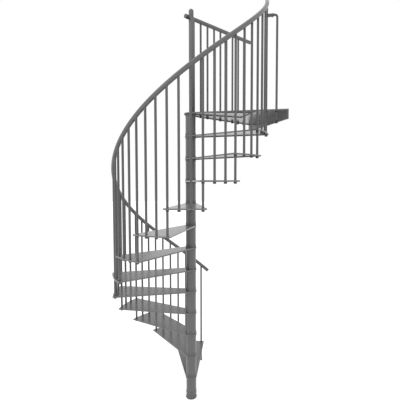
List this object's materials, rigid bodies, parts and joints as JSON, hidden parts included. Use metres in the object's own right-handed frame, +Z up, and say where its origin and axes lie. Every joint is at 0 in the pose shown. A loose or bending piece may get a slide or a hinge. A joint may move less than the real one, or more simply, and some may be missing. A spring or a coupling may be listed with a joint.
{
  "type": "spiral staircase",
  "caption": "Open spiral stair that winds up a tube column to a landing plate, with balusters under a helical handrail and a guard on the landing.",
  "frame": {"origin": "centre of the column foot's underside, at floor level", "axes": "+Z up the column; the stair climbs anticlockwise seen from above, from a first tread that points along +Y to a landing on the +X side"},
  "size_m": [1.7126, 1.569, 4.0487],
  "materials": {
    "tread_metal": "smooth mid grey coat",
    "column_metal": "smooth mid grey coat",
    "baluster_metal": "smooth mid grey coat",
    "rail_metal": "smooth grey coat"
  },
  "bodies": {
    "root": {"balusters_01": "baluster_metal", "balusters_02": "baluster_metal", "balusters_03": "baluster_metal", "balusters_04": "baluster_metal", "balusters_05": "baluster_metal", "balusters_06": "baluster_metal", "balusters_07": "baluster_metal", "balusters_08": "baluster_metal", "balusters_09": "baluster_metal", "balusters_10": "baluster_metal", "balusters_11": "baluster_metal", "balusters_12": "baluster_metal", "base_foot": "column_metal", "central_pole": "column_metal", "column_spacers": "column_metal", "guard_balusters": "baluster_metal", "guard_rail": "rail_metal", "handrail_caps": "rail_metal", "handrail_lower": "rail_metal", "handrail_middle": "rail_metal", "handrail_upper": "rail_metal", "landing_plate": "tread_metal", "landing_ribs": "tread_metal", "landing_wall_flange": "tread_metal", "newel_post": "column_metal", "return_clamp": "baluster_metal", "return_post": "baluster_metal", "tread_01": "tread_metal", "tread_02": "tread_metal", "tread_03": "tread_metal", "tread_04": "tread_metal", "tread_05": "tread_metal", "tread_06": "tread_metal", "tread_07": "tread_metal", "tread_08": "tread_metal", "tread_09": "tread_metal", "tread_10": "tread_metal", "tread_11": "tread_metal", "tread_12": "tread_metal"}
  },
  "joints": []
}
